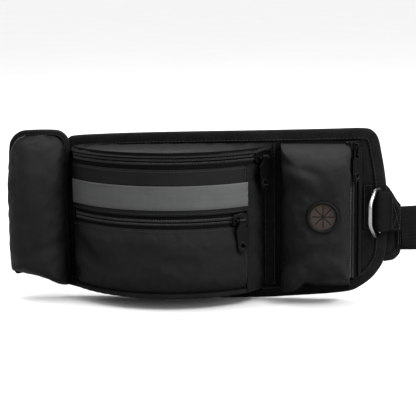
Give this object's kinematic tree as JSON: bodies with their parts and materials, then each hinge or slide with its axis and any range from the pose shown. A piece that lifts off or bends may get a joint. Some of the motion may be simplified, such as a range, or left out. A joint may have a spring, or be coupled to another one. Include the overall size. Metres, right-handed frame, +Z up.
{
  "type": "waist bag",
  "caption": "Black waist bag on a buckled belt, with a curved zipped centre pocket, side pouch, side pocket with bag dispenser port, reflective strip and leash ring.",
  "frame": {"origin": "centre of the wearer-side face of the back pad", "axes": "+Y towards the wearer, +Z up, +X to the right seen from the front; the pockets face -Y"},
  "size_m": [0.4157, 0.2819, 0.1571],
  "materials": {
    "shell_fabric": "coated oxford weave, low sheen",
    "panel_fabric": "coated oxford weave over foam",
    "lining_fabric": "plain lining cloth",
    "binding_tape": "ribbed grosgrain tape, matt",
    "air_mesh": "open spacer mesh",
    "reflective_tape": "grey retroreflective cloth, satin",
    "zip_tape": "fine herringbone tape",
    "zip_coil": "nylon coil",
    "black_enamel": "black enamel on die-cast zinc, worn edges",
    "port_rubber": "matt moulded rubber",
    "hook_and_loop": "hook and loop pile",
    "ring_chrome": "bright plated steel wire",
    "webbing": "woven polypropylene webbing",
    "buckle_plastic": "moulded acetal, fine texture",
    "elastic_band": "woven elastic"
  },
  "bodies": {
    "pack": {"back_panel": "panel_fabric", "back_pad": "air_mesh", "edge_binding": "binding_tape", "pocket_front_upper": "shell_fabric", "pocket_front_lower": "shell_fabric", "pocket_top": "shell_fabric", "pocket_bottom": "shell_fabric", "pocket_side_right": "shell_fabric", "pocket_side_left": "shell_fabric", "pocket_lining": "lining_fabric", "reflective_strip": "reflective_tape", "top_zip_tape": "zip_tape", "top_zip_coil": "zip_coil", "front_zip_tape": "zip_tape", "front_zip_coil": "zip_coil", "right_zip_tape": "zip_tape", "right_zip_coil": "zip_coil", "seam_strip": "binding_tape", "right_pocket_front": "shell_fabric", "right_pocket_side": "shell_fabric", "dispenser_grommet": "port_rubber", "dispenser_membrane": "port_rubber", "dispenser_retainer": "buckle_plastic", "left_pouch_back": "shell_fabric", "left_pouch_front": "shell_fabric", "left_pouch_binding": "binding_tape", "pouch_hook_tape": "hook_and_loop", "pouch_loop_tape": "hook_and_loop", "ring_tab": "webbing", "ring_patch": "panel_fabric", "right_wing": "panel_fabric", "left_wing": "panel_fabric", "right_belt": "webbing", "left_belt": "webbing", "buckle_female": "buckle_plastic", "buckle_male": "buckle_plastic"},
    "top_slider": {"top_zip_slider": "black_enamel"},
    "top_puller": {"top_zip_puller": "black_enamel"},
    "front_slider": {"front_zip_slider": "black_enamel"},
    "front_puller": {"front_zip_puller": "black_enamel"},
    "right_slider": {"right_zip_slider": "black_enamel"},
    "right_puller": {"right_zip_puller": "black_enamel"},
    "ring": {"leash_ring": "ring_chrome"},
    "arm_upper": {"buckle_arm_upper": "buckle_plastic"},
    "arm_lower": {"buckle_arm_lower": "buckle_plastic"},
    "keeper": {"belt_keeper": "elastic_band"}
  },
  "joints": [
    {"name": "top_zip_travel", "type": "hinge", "parent": "pack", "child": "top_slider", "pos_m": [-0.024, 0.056, 0.0565], "axis": [0, 0, -1], "range_deg": [0, 90.8]},
    {"name": "top_puller_swing", "type": "hinge", "parent": "top_slider", "child": "top_puller", "pos_m": [0.06289, -0.0256, 0.0565], "axis": [-0.6845, -0.729, 0], "range_deg": [0, 150]},
    {"name": "front_zip_travel", "type": "hinge", "parent": "pack", "child": "front_slider", "pos_m": [-0.024, 0.056, 0.0025], "axis": [0, 0, -1], "range_deg": [0, 79]},
    {"name": "front_puller_swing", "type": "hinge", "parent": "front_slider", "child": "front_puller", "pos_m": [0.04369, -0.04212, 0.0025], "axis": [-0.8231, -0.5678, 0], "range_deg": [0, 150]},
    {"name": "right_zip_travel", "type": "slide", "parent": "pack", "child": "right_slider", "axis": [0, 0, -1], "range_m": [0, 0.108]},
    {"name": "right_puller_swing", "type": "hinge", "parent": "right_slider", "child": "right_puller", "pos_m": [0.14362, -0.01862, 0.062], "axis": [-0.7071, -0.7071, 0], "range_deg": [0, 150]},
    {"name": "leash_ring_swing", "type": "hinge", "parent": "pack", "child": "ring", "pos_m": [0.164, -0.0133, 0.0057], "axis": [0, 0, 1], "range_deg": [-30, 75]},
    {"name": "buckle_squeeze_upper", "type": "hinge", "parent": "pack", "child": "arm_upper", "pos_m": [-0.0014, 0.2165, -0.03445], "axis": [0, -1, 0], "range_deg": [0, 12], "stiffness_Nm_per_rad": 0.05},
    {"name": "buckle_squeeze_lower", "type": "hinge", "parent": "pack", "child": "arm_lower", "pos_m": [-0.0014, 0.2165, -0.06605], "axis": [0, 1, 0], "range_deg": [0, 12]},
    {"name": "belt_keeper_travel", "type": "slide", "parent": "pack", "child": "keeper", "axis": [1, 0, 0], "range_m": [-0.018, 0.022]}
  ],
  "couplings": [
    {"joint": "buckle_squeeze_lower", "follows": "buckle_squeeze_upper", "ratio": 1}
  ]
}
